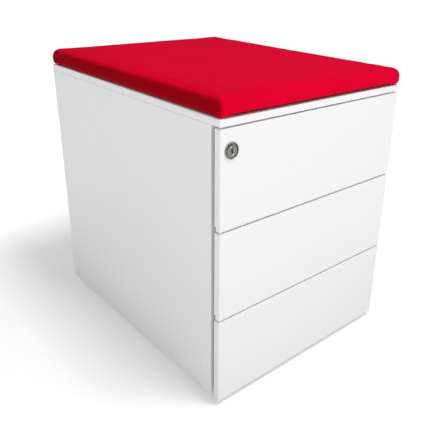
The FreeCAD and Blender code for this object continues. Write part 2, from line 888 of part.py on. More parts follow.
def cabinet_screws():
    body = new_body("cabinet_screws")
    head = dim("screw_head") / 2
    shank = dim("screw") / 2
    thick = dim("screw_head_thick")
    castor_tip = base_top + dim("tray_clear") / 2
    add(body, "XY_Plane", plate_low - thick, plate_low, draw_circles(castor_screw_places(), head))
    add(body, "XY_Plane", plate_low, castor_tip, draw_circles(castor_screw_places(), shank))
    lid_places = [(side * (half_wide - dim("lid_screw_in")), way * lid_screw_y())
                  for side in (-1, 1) for way in (-1, 1)]
    add(body, "XY_Plane", column_top - thick, column_top, draw_circles(lid_places, head))
    add(body, "XY_Plane", column_top, column_top + dim("screw_grip"), draw_circles(lid_places, shank))
    slide_places = [(y, tray_low + slide_middle) for _, _, _, tray_low, _ in DRAWERS
                    for y in (slide_screw_front, slide_screw_rear)]
    seat = web_face - heavy
    for side in (-1, 1):
        add(body, "YZ_Plane", *signed(side, seat - thick, seat), draw_circles(slide_places, head))
        add(body, "YZ_Plane", *signed(side, seat, seat + dim("screw_grip")),
            draw_circles(slide_places, shank))
    return body


# ---------------------------------------------------------------- seat pad

def pad_layer(name, inset, low, high):
    body = new_body(name)
    x = half_wide - inset
    y = back_face - inset
    add_box(body, -x, x, -y, y, low, high)
    round_edges(body, dim("cover_corner"), {"x": [-x, x], "y": [-y, y]})
    return body


def seat_cover():
    """The fabric sleeve, closed all round the foam."""
    inset = dim("cover_shy")
    body = pad_layer("seat_cover", inset, cover_low, cover_low + dim("cover_high"))
    round_edges(body, dim("cover_top_round"), {"z": [cover_low + dim("cover_high")]})
    round_edges(body, dim("cover_bottom_round"), {"z": [cover_low]})
    skin = dim("cover_skin")
    x = half_wide - inset - dim("cover_bottom_round")
    y = back_face - inset - dim("cover_bottom_round")
    cut_box(body, -x, x, -y, y, cover_low + skin, cover_low + dim("cover_high") - skin)
    return body


def seat_foam():
    """The foam block, with its upper edges cut round so that the cover lies over them."""
    skin = dim("cover_skin")
    top = cover_low + dim("cover_high") - skin
    inset = dim("cover_shy") + dim("cover_bottom_round")
    body = pad_layer("seat_foam", inset, cover_low + skin, top)
    round_edges(body, dim("cover_top_round") - skin, {"z": [top]})
    return body


# ---------------------------------------------------------------- build, check and write

def build_carcass():
    for word, side in SIDES:
        side_panel(word, side)
        upright("front_upright_%s" % word, side, carcass_front + steel, front_upright_back, side < 0)
        upright("rear_upright_%s" % word, side, rear_upright_front, rear_upright_back, False)
    back_panel()
    base_pan()
    top_lid()
    front_top_rail()
    slide_bumpers()
    cabinet_screws()


def build_drawer(drawer, low, high, tray_low, notched):
    locked = drawer == "top"
    drawer_front(drawer, low, high, notched, locked)
    front_liner(drawer, low, high, tray_low, locked)
    drawer_tray(drawer, tray_low)
    drawer_screws(drawer, tray_low)
    for word, side in SIDES:
        outer_slide(drawer, word, side, tray_low)
        inner_slide(drawer, word, side, tray_low)
    ball_cages(drawer, tray_low)


def build_all():
    build_carcass()
    for drawer in DRAWERS:
        build_drawer(*drawer)
    lock_housing()
    lock_plug()
    lock_cam()
    lock_nut()
    lock_bar()
    lock_bar_guides()
    castor_plates()
    for castor in CASTORS:
        castor_fork(*castor)
        castor_wheels(*castor)
    pad_layer("seat_grip_mat", dim("mat_inset"), mat_low, board_low)
    pad_layer("seat_board", dim("board_inset"), board_low, cover_low)
    seat_cover()
    seat_foam()


def check_and_write():
    doc.recompute()
    for item in doc.Objects:
        if "Invalid" in item.State or "Error" in item.State:
            raise ValueError("%s failed: %s" % (item.Label, item.State))
    os.makedirs("parts", exist_ok=True)
    for item in kept:
        if item.Shape.isNull() or not item.Shape.isValid():
            raise ValueError("%s has no valid shape" % item.Label)
        item.Shape.exportStep("parts/%s.step" % item.Label)
    print("%d nodes written" % len(kept))


build_all()
check_and_write()
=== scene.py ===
import json
import math
import bmesh
import bpy
from mathutils import Matrix, Vector


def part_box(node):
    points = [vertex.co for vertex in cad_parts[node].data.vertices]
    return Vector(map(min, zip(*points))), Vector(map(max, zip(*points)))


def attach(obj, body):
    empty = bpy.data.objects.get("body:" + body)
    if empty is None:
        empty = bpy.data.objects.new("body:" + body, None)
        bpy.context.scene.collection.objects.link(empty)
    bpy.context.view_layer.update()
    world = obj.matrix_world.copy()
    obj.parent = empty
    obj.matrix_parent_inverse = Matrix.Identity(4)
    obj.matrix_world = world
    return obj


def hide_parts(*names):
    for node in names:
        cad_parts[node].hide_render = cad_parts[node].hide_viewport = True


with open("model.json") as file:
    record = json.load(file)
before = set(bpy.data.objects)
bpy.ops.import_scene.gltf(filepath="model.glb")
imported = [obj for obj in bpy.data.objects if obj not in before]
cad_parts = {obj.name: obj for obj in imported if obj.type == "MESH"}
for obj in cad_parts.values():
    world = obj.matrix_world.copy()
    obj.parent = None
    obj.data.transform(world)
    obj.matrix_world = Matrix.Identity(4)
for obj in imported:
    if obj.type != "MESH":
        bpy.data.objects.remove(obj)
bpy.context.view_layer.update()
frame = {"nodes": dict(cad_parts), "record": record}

nodes = frame["nodes"]
print("frame loaded", len(nodes), "nodes")

viewSpec = {
    "place": (-0.66699, -0.82846, 0.69447),
    "swing": 0.734,      # turned from +Y towards +X
    "dip": 0.399,        # looking down
    "tilt": 0.027,       # the camera was held a little off level
    "sensor": 36,
    "lens": 45.42,
    "farEnd": 200,
    "shift": (-0.0634, -0.0497),
}


def addCamera(spec):
    data = bpy.data.cameras.new("pedestalView")
    data.sensor_width = spec["sensor"]
    data.lens = spec["lens"]
    data.shift_x, data.shift_y = spec["shift"]
    data.clip_end = spec["farEnd"]
    camera = bpy.data.objects.new("pedestalView", data)
    turn = Matrix.Rotation(-spec["swing"], 4, "Z")
    turn = turn @ Matrix.Rotation(math.pi / 2 - spec["dip"], 4, "X")
    turn = turn @ Matrix.Rotation(spec["tilt"], 4, "Z")
    camera.matrix_world = Matrix.Translation(spec["place"]) @ turn
    bpy.context.scene.collection.objects.link(camera)
    bpy.context.scene.camera = camera


addCamera(viewSpec)
print("camera placed")


def clearPick():
    if bpy.context.object and bpy.context.object.mode != "OBJECT":
        bpy.ops.object.mode_set(mode="OBJECT")
    bpy.ops.object.select_all(action="DESELECT")


def takeUp(piece):
    clearPick()
    piece.select_set(True)
    bpy.context.view_layer.objects.active = piece


# the object goes to the origin, and its place into its mesh
def settle(piece):
    takeUp(piece)
    bpy.ops.object.transform_apply(location=True, rotation=True, scale=True)
    return piece


def named(name):
    piece = bpy.context.object
    piece.name = name
    piece.data.name = name
    return piece


def addBlock(name, low, high):
    clearPick()
    low, high = Vector(low), Vector(high)
    bpy.ops.mesh.primitive_cube_add(size=1, location=(low + high) / 2)
    piece = named(name)
    piece.scale = high - low
    return settle(piece)


def addRound(name, radius, depth, centre, turn=(0, 0, 0), sides=48):
    clearPick()
    bpy.ops.mesh.primitive_cylinder_add(vertices=sides, radius=radius, depth=depth,
                                        location=centre, rotation=turn)
    return settle(named(name))


hair = 0.0001      # places this close together count as the same
mostly = 0.9       # how far a normal or an edge lies along an axis to count as along it
hardly = 0.1


def pickFaces(piece, chosen):
    takeUp(piece)
    bpy.ops.object.mode_set(mode="EDIT")
    bpy.ops.mesh.select_mode(type="FACE")
    bpy.ops.mesh.select_all(action="DESELECT")
    shape = bmesh.from_edit_mesh(piece.data)
    for face in shape.faces:
        face.select = bool(chosen(face.calc_center_median(), face.normal))
    shape.select_flush_mode()
    bmesh.update_edit_mesh(piece.data)


def pickEdges(piece, chosen):
    takeUp(piece)
    bpy.ops.object.mode_set(mode="EDIT")
    bpy.ops.mesh.select_mode(type="EDGE")
    bpy.ops.mesh.select_all(action="DESELECT")
    shape = bmesh.from_edit_mesh(piece.data)
    for edge in shape.edges:
        ends = [corner.co for corner in edge.verts]
        edge.select = bool(chosen((ends[0] + ends[1]) / 2, (ends[1] - ends[0]).normalized()))
    bmesh.update_edit_mesh(piece.data)


def leaveEdit():
    bpy.ops.object.mode_set(mode="OBJECT")


def bevelPicked(width, steps):
    bpy.ops.mesh.bevel(offset=width, segments=steps, affect="EDGES")
    leaveEdit()


def useModifier(piece, kind, **settings):
    takeUp(piece)
    modifier = piece.modifiers.new(kind.lower(), kind)
    for key, value in settings.items():
        setattr(modifier, key, value)
    bpy.ops.object.modifier_apply(modifier=modifier.name)


def smooth(piece, degrees=40):
    takeUp(piece)
    bpy.ops.object.shade_smooth_by_angle(angle=math.radians(degrees))
    return piece


skinGives = (("Color", "NodeSocketColor"), ("Roughness", "NodeSocketFloat"),
             ("Height", "NodeSocketFloat"))


def newGroup(name, inputs, outputs=skinGives):
    group = bpy.data.node_groups.new(name, "ShaderNodeTree")
    for label, kind, value in inputs:
        socket = group.interface.new_socket(label, in_out="INPUT", socket_type=kind)
        socket.default_value = value
    for label, kind in outputs:
        group.interface.new_socket(label, in_out="OUTPUT", socket_type=kind)
    entry = group.nodes.new("NodeGroupInput")
    leave = group.nodes.new("NodeGroupOutput")
    return group, entry, leave


def put(tree, kind, values=None, **settings):
    node = tree.nodes.new(kind)
    for key, value in settings.items():
        setattr(node, key, value)
    for key, value in (values or {}).items():
        node.inputs[key].default_value = value
    return node


def noiseAt(tree, place, scale, detail=3.0, rough=0.55):
    node = put(tree, "ShaderNodeTexNoise", {"Scale": scale, "Detail": detail, "Roughness": rough})
    tree.links.new(place, node.inputs["Vector"])
    return node.outputs["Fac"]


def reach(tree, value, low, high, outLow=0.0, outHigh=1.0):
    node = put(tree, "ShaderNodeMapRange", {"From Min": low, "From Max": high,
                                            "To Min": outLow, "To Max": outHigh})
    node.interpolation_type = "SMOOTHSTEP"
    tree.links.new(value, node.inputs["Value"])
    return node.outputs["Result"]


def sums(tree, operation, first, second):
    node = put(tree, "ShaderNodeMath", operation=operation)
    for socket, value in zip(node.inputs, (first, second)):
        if isinstance(value, (int, float)):
            socket.default_value = value
        else:
            tree.links.new(value, socket)
    return node.outputs["Value"]


def times(tree, first, second):
    return sums(tree, "MULTIPLY", first, second)


def plus(tree, first, second):
    return sums(tree, "ADD", first, second)


def blendColour(tree, share, first, second):
    node = put(tree, "ShaderNodeMix", data_type="RGBA")
    for socket, value in ((0, share), (6, first), (7, second)):     # the colour mix's own sockets
        tree.links.new(value, node.inputs[socket])
    return node.outputs[2]


paintSpec = {
    "drift": (3.2, 2.0),                # scale and detail of the slow change of tone
    "driftTone": 0.05,
    "driftGloss": 0.12,
    "rub": (26.0, 5.0, 0.65),
    "rubFrom": (0.58, 0.78),
    "dustHeight": (0.11, 0.005),        # dust fades in between these heights
    "dustGloss": 0.5,
}


# powder coat: a fine orange peel, a slow drift of tone and a little dust low down
def makePaintSkin(spec):
    group, entry, leave = newGroup("paintSkin", [
        ("Tone", "NodeSocketColor", (0.8, 0.8, 0.8, 1)),
        ("Soiled", "NodeSocketColor", (0.6, 0.6, 0.58, 1)),
        ("Peel", "NodeSocketFloat", 700.0),
        ("Gloss", "NodeSocketFloat", 0.4),
        ("Dust", "NodeSocketFloat", 0.25),
    ])
    place = put(group, "ShaderNodeTexCoord").outputs["Object"]
    split = put(group, "ShaderNodeSeparateXYZ")
    group.links.new(place, split.inputs[0])
    drift = noiseAt(group, place, *spec["drift"])
    rub = reach(group, noiseAt(group, place, *spec["rub"]), *spec["rubFrom"])
    low = reach(group, split.outputs["Z"], *spec["dustHeight"])
    dusty = times(group, times(group, low, rub), entry.outputs["Dust"])
    tone = plus(group, times(group, drift, spec["driftTone"]), dusty)
    group.links.new(blendColour(group, tone, entry.outputs["Tone"], entry.outputs["Soiled"]),
                    leave.inputs["Color"])
    peel = put(group, "ShaderNodeTexNoise", {"Detail": 2.0, "Roughness": 0.5})
    group.links.new(place, peel.inputs["Vector"])
    group.links.new(entry.outputs["Peel"], peel.inputs["Scale"])
    group.links.new(peel.outputs["Fac"], leave.inputs["Height"])
    wander = times(group, sums(group, "SUBTRACT", drift, 0.5), spec["driftGloss"])
    rougher = plus(group, plus(group, entry.outputs["Gloss"], wander),
                   times(group, dusty, spec["dustGloss"]))
    group.links.new(rougher, leave.inputs["Roughness"])
    return group


metalSpec = {
    "line": (1.0, 3.0, 0.6),
    "stain": (34.0, 4.0, 0.6),
    "stainFrom": (0.5, 0.85),
    "stainShare": 0.45,      # how much of the stain's tone each effect brings in
    "flakeShare": 0.16,
    "lineShare": 0.22,
    "lineGloss": 0.16,
    "flakeGloss": 0.07,
}


# rolled or turned metal: long fine lines along one axis, with faint stains
def makeMetalGrain(spec):
    group, entry, leave = newGroup("metalGrain", [
        ("Tone", "NodeSocketColor", (0.6, 0.6, 0.6, 1)),
        ("Stain", "NodeSocketColor", (0.35, 0.35, 0.33, 1)),
        ("Stretch", "NodeSocketVector", (900.0, 30.0, 900.0)),
        ("Gloss", "NodeSocketFloat", 0.3),
        ("Spangle", "NodeSocketFloat", 90.0),
    ])
    place = put(group, "ShaderNodeTexCoord").outputs["Object"]
    stretched = put(group, "ShaderNodeVectorMath", operation="MULTIPLY")
    group.links.new(place, stretched.inputs[0])
    group.links.new(entry.outputs["Stretch"], stretched.inputs[1])
    line = noiseAt(group, stretched.outputs["Vector"], *spec["line"])
    flake = put(group, "ShaderNodeTexVoronoi")
    group.links.new(place, flake.inputs["Vector"])
    group.links.new(entry.outputs["Spangle"], flake.inputs["Scale"])
    tint = put(group, "ShaderNodeSeparateColor")
    group.links.new(flake.outputs["Color"], tint.inputs[0])
    stain = reach(group, noiseAt(group, place, *spec["stain"]), *spec["stainFrom"])
    share = plus(group, times(group, stain, spec["stainShare"]),
                 times(group, tint.outputs["Red"], spec["flakeShare"]))
    share = plus(group, share, times(group, line, spec["lineShare"]))
    group.links.new(blendColour(group, share, entry.outputs["Tone"], entry.outputs["Stain"]),
                    leave.inputs["Color"])
    rough = plus(group, entry.outputs["Gloss"], times(group, line, spec["lineGloss"]))
    rough = plus(group, rough, times(group, tint.outputs["Green"], spec["flakeGloss"]))
    group.links.new(rough, leave.inputs["Roughness"])
    group.links.new(line, leave.inputs["Height"])
    return group


mouldSpec = {
    "scuff": (60.0, 5.0, 0.7),
    "scuffFrom": (0.5, 0.72),
    "scuffGloss": 0.3,
}


# moulded plastic or rubber: a spark-eroded grain with scuffed patches
def makeMouldSkin(spec):
    group, entry, leave = newGroup("mouldSkin", [
        ("Tone", "NodeSocketColor", (0.03, 0.03, 0.03, 1)),
        ("Scuffed", "NodeSocketColor", (0.12, 0.12, 0.12, 1)),
        ("Grain", "NodeSocketFloat", 1400.0),
        ("Gloss", "NodeSocketFloat", 0.5),
        ("Wear", "NodeSocketFloat", 0.35),
    ])
    place = put(group, "ShaderNodeTexCoord").outputs["Object"]
    scuff = reach(group, noiseAt(group, place, *spec["scuff"]), *spec["scuffFrom"])
    share = times(group, scuff, entry.outputs["Wear"])
    group.links.new(blendColour(group, share, entry.outputs["Tone"], entry.outputs["Scuffed"]),
                    leave.inputs["Color"])
    grain = put(group, "ShaderNodeTexVoronoi")
    group.links.new(place, grain.inputs["Vector"])
    group.links.new(entry.outputs["Grain"], grain.inputs["Scale"])
    group.links.new(grain.outputs["Distance"], leave.inputs["Height"])
    group.links.new(plus(group, entry.outputs["Gloss"], times(group, share, spec["scuffGloss"])),
                    leave.inputs["Roughness"])
    return group


clothSpec = {
    "wobble": (260.0, 2.0),
    "wobbleMove": 0.0011,
    "waveLift": 1.5,         # three crossed waves, lifted above nought and scaled down
    "waveShare": 0.3,
    "nap": (2600.0, 4.0, 0.7),
    "napFrom": (0.55, 0.8),
    "napShare": 0.35,
    "napHeight": 0.6,
    "mottle": (14.0, 4.0, 0.6),
    "mottleFrom": (0.35, 0.75),
    "mottleShare": 0.12,
    "troughShadeShare": 0.16,
    "paintedSideShadeFrom": (0.35, 0.95),   # how far a face looks towards ±X before painted shade darkens it
    "dull": 0.78,
    "dullNap": 0.2,
}


# felted wool cloth: a fine crossed yarn under a soft nap, with slow mottling, painted shade in the
# hollows between the yarns and painted shade on the faces turned towards ±X
def makeClothWeave(spec):
    group, entry, leave = newGroup("clothWeave", [
        ("Tone", "NodeSocketColor", (0.6, 0.0, 0.03, 1)),
        ("Shade", "NodeSocketColor", (0.4, 0.0, 0.02, 1)),
        ("Fleck", "NodeSocketColor", (0.75, 0.03, 0.06, 1)),
        ("Yarns", "NodeSocketFloat", 1500.0),
        ("SideShadePainted", "NodeSocketFloat", 0.5),
    ])
    place = put(group, "ShaderNodeTexCoord").outputs["Object"]
    scale, detail = spec["wobble"]
    wobble = put(group, "ShaderNodeTexNoise", {"Scale": scale, "Detail": detail})
    group.links.new(place, wobble.inputs["Vector"])
    shift = put(group, "ShaderNodeVectorMath", operation="SCALE")
    group.links.new(wobble.outputs["Color"], shift.inputs[0])
    shift.inputs["Scale"].default_value = spec["wobbleMove"]
    moved = put(group, "ShaderNodeVectorMath", operation="ADD")
    group.links.new(place, moved.inputs[0])
    group.links.new(shift.outputs["Vector"], moved.inputs[1])
    split = put(group, "ShaderNodeSeparateXYZ")
    group.links.new(moved.outputs["Vector"], split.inputs[0])
    waves = []
    for axis in ("X", "Y", "Z"):
        turned = times(group, split.outputs[axis], entry.outputs["Yarns"])
        waves.append(sums(group, "SINE", turned, 0.0))
    crossed = [times(group, waves[first], waves[second])
               for first, second in ((0, 1), (1, 2), (2, 0))]
    weave = plus(group, plus(group, crossed[0], crossed[1]), crossed[2])
    weave = times(group, plus(group, weave, spec["waveLift"]), spec["waveShare"])
    nap = noiseAt(group, place, *spec["nap"])
    mottle = noiseAt(group, place, *spec["mottle"])
    # painted shade in the hollows between the crossed yarns: the lower parts of the weave take more
    # of the dark colour; the mottling added next is the cloth's own tone
    paintedShadeAndMottle = times(group, sums(group, "SUBTRACT", 1.0, weave), spec["troughShadeShare"])
    patches = reach(group, mottle, *spec["mottleFrom"])
    paintedShadeAndMottle = plus(group, paintedShadeAndMottle, times(group, patches, spec["mottleShare"]))
    # painted shade: faces turned towards ±X take more of the dark colour, as if the sides lay in
    # shade
    facing = put(group, "ShaderNodeSeparateXYZ")
    group.links.new(put(group, "ShaderNodeTexCoord").outputs["Normal"], facing.inputs[0])
    paintedSideShade = reach(group, sums(group, "ABSOLUTE", facing.outputs["X"], 0.0), *spec["paintedSideShadeFrom"])
    paintedShadeAndMottle = plus(group, paintedShadeAndMottle, times(group, paintedSideShade, entry.outputs["SideShadePainted"]))
    cloth = blendColour(group, paintedShadeAndMottle, entry.outputs["Tone"], entry.outputs["Shade"])
    fibre = times(group, reach(group, nap, *spec["napFrom"]), spec["napShare"])
    group.links.new(blendColour(group, fibre, cloth, entry.outputs["Fleck"]), leave.inputs["Color"])
    group.links.new(plus(group, spec["dull"], times(group, nap, spec["dullNap"])),
                    leave.inputs["Roughness"])
    group.links.new(plus(group, weave, times(group, nap, spec["napHeight"])),
                    leave.inputs["Height"])
    return group


paintSkin = makePaintSkin(paintSpec)
metalGrain = makeMetalGrain(metalSpec)
mouldSkin = makeMouldSkin(mouldSpec)
clothWeave = makeClothWeave(clothSpec)


def makeFinish(name, skin, values, bump, shader):
    material = bpy.data.materials.new(name)
    material.use_nodes = True
    tree = material.node_tree
    surface = tree.nodes["Principled BSDF"]
    for key, value in shader.items():
        surface.inputs[key].default_value = value
    feed = put(tree, "ShaderNodeGroup", node_tree=skin)
    for key, value in values.items():
        feed.inputs[key].default_value = value
    tree.links.new(feed.outputs["Color"], surface.inputs["Base Color"])
    tree.links.new(feed.outputs["Roughness"], surface.inputs["Roughness"])
    raised = put(tree, "ShaderNodeBump", {"Strength": bump[0], "Distance": bump[1]})
    tree.links.new(feed.outputs["Height"], raised.inputs["Height"])
    tree.links.new(raised.outputs["Normal"], surface.inputs["Normal"])
    return material


finishes = {
    "white_steel": makeFinish("whitePowderCoat", paintSkin, {
        "Tone": (0.85, 0.838, 0.846, 1), "Soiled": (0.66, 0.65, 0.62, 1), "Peel": 900.0,
        "Gloss": 0.42, "Dust": 0.22}, (0.12, 0.0002), {"Specular IOR Level": 0.4}),
    "frame_steel": makeFinish("trayPowderCoat", paintSkin, {
        "Tone": (0.80, 0.80, 0.80, 1), "Soiled": (0.55, 0.54, 0.51, 1), "Peel": 650.0,
        "Gloss": 0.5, "Dust": 0.3}, (0.15, 0.0002), {"Specular IOR Level": 0.4}),
    "zinc_steel": makeFinish("zincPlate", metalGrain, {
        "Tone": (0.62, 0.64, 0.67, 1), "Stain": (0.40, 0.41, 0.42, 1), "Gloss": 0.26,
        "Spangle": 120.0}, (0.08, 0.0001), {"Metallic": 1.0}),
    "ball_steel": makeFinish("ballSteel", metalGrain, {
        "Tone": (0.75, 0.75, 0.76, 1), "Stain": (0.45, 0.42, 0.36, 1), "Gloss": 0.12,
        "Spangle": 300.0}, (0.05, 0.0001), {"Metallic": 1.0}),
    "fastener_steel": makeFinish("screwPlate", metalGrain, {
        "Tone": (0.55, 0.56, 0.58, 1), "Stain": (0.34, 0.33, 0.30, 1), "Gloss": 0.3,
        "Stretch": (500.0, 500.0, 500.0), "Spangle": 500.0}, (0.1, 0.0001), {"Metallic": 1.0}),
    "lock_nickel": makeFinish("lockNickel", metalGrain, {
        "Tone": (0.27, 0.27, 0.245, 1), "Stain": (0.09, 0.09, 0.08, 1), "Gloss": 0.2,
        "Stretch": (900.0, 900.0, 900.0), "Spangle": 700.0}, (0.12, 0.0001), {"Metallic": 1.0}),
    "black_plastic": makeFinish("blackNylon", mouldSkin, {
        "Tone": (0.022, 0.022, 0.023, 1), "Scuffed": (0.09, 0.09, 0.09, 1)}, (0.2, 0.0001), {}),
    "wheel_plastic": makeFinish("wheelTread", mouldSkin, {
        "Tone": (0.045, 0.045, 0.05, 1), "Scuffed": (0.2, 0.19, 0.18, 1), "Grain": 900.0,
        "Gloss": 0.55, "Wear": 0.6}, (0.25, 0.0001), {}),
    "black_rubber": makeFinish("gripRubber", mouldSkin, {
        "Tone": (0.018, 0.018, 0.018, 1), "Scuffed": (0.05, 0.05, 0.05, 1), "Grain": 600.0,
        "Gloss": 0.75}, (0.4, 0.0002), {}),
    "board_plastic": makeFinish("boardSheet", mouldSkin, {
        "Tone": (0.03, 0.03, 0.03, 1), "Scuffed": (0.07, 0.07, 0.07, 1), "Grain": 800.0,
        "Gloss": 0.6}, (0.2, 0.0001), {}),
    "seat_foam": makeFinish("cutFoam", mouldSkin, {
        "Tone": (0.80, 0.74, 0.52, 1), "Scuffed": (0.62, 0.55, 0.35, 1), "Grain": 900.0,
        "Gloss": 0.9, "Wear": 0.5}, (0.6, 0.0006), {}),
    "red_fabric": makeFinish("redFelt", clothWeave, {
        "Tone": (0.74, 0.0, 0.028, 1), "Shade": (0.31, 0.0, 0.006, 1),
        "Fleck": (0.81, 0.002, 0.046, 1), "SideShadePainted": 0.95}, (0.35, 0.0004), {
        "Sheen Weight": 0.03, "Sheen Roughness": 0.5, "Sheen Tint": (1.0, 0.0, 0.1, 1),
        "Specular IOR Level": 0.02}),
}

for row in frame["record"]["subparts"]:
    node = nodes[row["node"]]
    node.data.materials.clear()
    node.data.materials.append(finishes[row["material_slot"]])
print("materials made", len(finishes))


def finishPiece(piece, body, slot, *stoodFor):
    piece.data.materials.clear()
    piece.data.materials.append(finishes[slot])
    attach(piece, body)
    if stoodFor:
        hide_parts(*stoodFor)
    return piece


padSpec = {
    "proud": 0.0040,       # wider than the CAD cover on every side
    "raised": 0.0002,      # and higher at the top
    "corner": (0.011, 7),      # how wide each rounding is, and its steps
    "topRound": (0.0135, 6),
    "bottomRound": (0.007, 4),
    "voxel": 0.004,
    "cloth": {"quality": 6, "mass": 0.3, "tension_stiffness": 40, "compression_stiffness": 40,
              "shear_stiffness": 20, "bending_stiffness": 2, "use_pressure": True,
              "uniform_pressure_force": 4.0, "vertex_group_mass": "held"},
    "frames": 20,
    "mostSwell": 0.0018,
    "heldUnder": 0.0036,   # the cloth this low down stays where the board holds it
    "skirtDrop": 0.0027,   # the cloth hangs this far down round the board's corners
    "skirtWide": (0.0075, 0.0115),
    "skirtLong": (0.006, 0.030),
    "skirtHigh": 0.010,
    "soften": {"factor": 0.5, "iterations": 3},
}


def shapePad(spec):
    low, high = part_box("seat_cover")
    proud = Vector((spec["proud"], spec["proud"], 0))
    top = high.z + spec["raised"]
    pad = addBlock("seatCushion", low - proud, high + proud + Vector((0, 0, spec["raised"])))
    pickEdges(pad, lambda middle, along: abs(along.z) > mostly)
    bevelPicked(*spec["corner"])
    pickEdges(pad, lambda middle, along: middle.z > top - hair and abs(along.z) < hardly)
    bevelPicked(*spec["topRound"])
    pickEdges(pad, lambda middle, along: middle.z < low.z + hair and abs(along.z) < hardly)
    bevelPicked(*spec["bottomRound"])
    useModifier(pad, "REMESH", mode="VOXEL", voxel_size=spec["voxel"])
    return pad


# the cover is blown up against its own cloth, and how far it went is limited
def swellPad(pad, spec):
    low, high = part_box("seat_cover")
    before = [corner.co.copy() for corner in pad.data.vertices]
    held = pad.vertex_groups.new(name="held")
    resting = [c.index for c in pad.data.vertices if c.co.z < low.z + spec["heldUnder"]]
    held.add(resting, 1.0, "REPLACE")
    takeUp(pad)
    cloth = pad.modifiers.new("cloth", "CLOTH")
    for key, value in spec["cloth"].items():
        setattr(cloth.settings, key, value)
    cloth.settings.effector_weights.gravity = 0
    cloth.collision_settings.use_collision = False
    cloth.point_cache.frame_start = 1
    cloth.point_cache.frame_end = spec["frames"]
    scene = bpy.context.scene
    for step in range(1, spec["frames"] + 1):
        scene.frame_set(step)
    blown = pad.evaluated_get(bpy.context.evaluated_depsgraph_get())
    after = [corner.co.copy() for corner in blown.data.vertices]
    takeUp(pad)
    bpy.ops.object.modifier_apply(modifier=cloth.name)
    most = spec["mostSwell"]
    for corner, start, end in zip(pad.data.vertices, before, after):
        move = end - start
        length = move.length
        if length > 0:
            move *= most * math.tanh(length / most) / length
        corner.co = start + move
    scene.frame_set(1)
    pad.vertex_groups.clear()


def easeOff(value, start, end):
    share = min(max((value - start) / (end - start), 0), 1)
    return 1 - share * share * (3 - 2 * share)


def hangSkirt(pad, spec):
    low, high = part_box("seat_cover")
    half = (high - low) / 2
    for corner in pad.data.vertices:
        inward, along = sorted((half.x - abs(corner.co.x), half.y - abs(corner.co.y)))
        ease = easeOff(inward, *spec["skirtWide"]) * easeOff(along, *spec["skirtLong"])
        ease *= easeOff(corner.co.z, low.z, low.z + spec["skirtHigh"])
        corner.co.z -= spec["skirtDrop"] * ease


def makePad(spec):
    pad = shapePad(spec)
    swellPad(pad, spec)
    useModifier(pad, "SMOOTH", **spec["soften"])
    hangSkirt(pad, spec)
    useModifier(pad, "SUBSURF", levels=1, render_levels=1)
    takeUp(pad)
    bpy.ops.object.shade_smooth()
    finishPiece(pad, "seat_pad", "red_fabric", "seat_cover")
    return pad


makePad(padSpec)
print("seat pad made")

lockSpec = {
    "sides": 64,
    "ringWide": 0.0017,      # the flat of the outer ring
    "ringRound": (0.0007, 4),
    "grooveDeep": 0.0022,
    "barrel": 0.01025,
    "core": 0.0065,
    "tail": 0.003,
    "boreRoom": 0.00006,
    "faceDeep": 0.0037,
    "faceBack": 0.0002,
    # rings worked into the face: how far in, then how far back
    "faceSteps": ((0.0006, -0.0002), (0.0013, 0.0), (0.0003, 0.0004),
                  (0.0010, 0.0), (0.0003, -0.0004)),
    "slotWide": 0.0030,
    "slotHigh": 0.0072,
    "slotDeep": 0.012,
    "ward": (0.0011, 0.0012, 0.0022),      # wide, deep and high
    "wardBack": 0.0003,
    "wardRound": 1 / 3,
    "wardSteps": 3,
    "collarSmooth": 50,      # degrees
    "faceSmooth": 30,
}


def pushOut(move):
    bpy.ops.mesh.extrude_region_move(TRANSFORM_OT_translate={"value": move})


def insetBy(width):
    bpy.ops.mesh.inset(thickness=width, use_even_offset=False)


def offLine(point, centre):
    return math.hypot(point.x - centre.x, point.z - centre.z)


def alongY(name, radius, start, end, centre, sides):
    return addRound(name, radius, end - start, (centre.x, (start + end) / 2, centre.z),
                    (math.pi / 2, 0, 0), sides)


def makeLockCollar(spec):
    low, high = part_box("lock_housing")
    faceLow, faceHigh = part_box("lock_plug")
    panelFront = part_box("top_drawer_front")[0].y
    centre = (low + high) / 2
    ring = (high.x - low.x) / 2
    bore = (faceHigh.x - faceLow.x) / 2 + spec["boreRoom"]
    inner = ring - spec["ringWide"]
    collar = alongY("lockCollar", ring, low.y, panelFront, centre, spec["sides"])
    pickFaces(collar, lambda middle, normal: normal.y < -mostly)
    insetBy(spec["ringWide"])
    pushOut((0, spec["grooveDeep"], 0))
    insetBy(inner - bore)
    pushOut((0, spec["faceDeep"] - spec["grooveDeep"], 0))
    insetBy(bore - spec["core"])
    leaveEdit()
    pickFaces(collar, lambda middle, normal: normal.y > mostly and middle.y > panelFront - hair)
    insetBy(ring - spec["barrel"])
    pushOut((0, high.y - panelFront, 0))
    insetBy(spec["barrel"] - spec["core"])
    leaveEdit()
    pickFaces(collar, lambda middle, normal: abs(normal.y) > mostly
              and offLine(middle, centre) < hair)
    bpy.ops.mesh.bridge_edge_loops()
    leaveEdit()
    pickEdges(collar, lambda middle, along: middle.y < low.y + hair and abs(along.y) < hardly
              and min(abs(offLine(middle, centre) - rim) for rim in (ring, inner)) < 2 * hair)
    bevelPicked(*spec["ringRound"])
    return finishPiece(smooth(collar, spec["collarSmooth"]), "top_drawer", "lock_nickel",
                       "lock_housing")


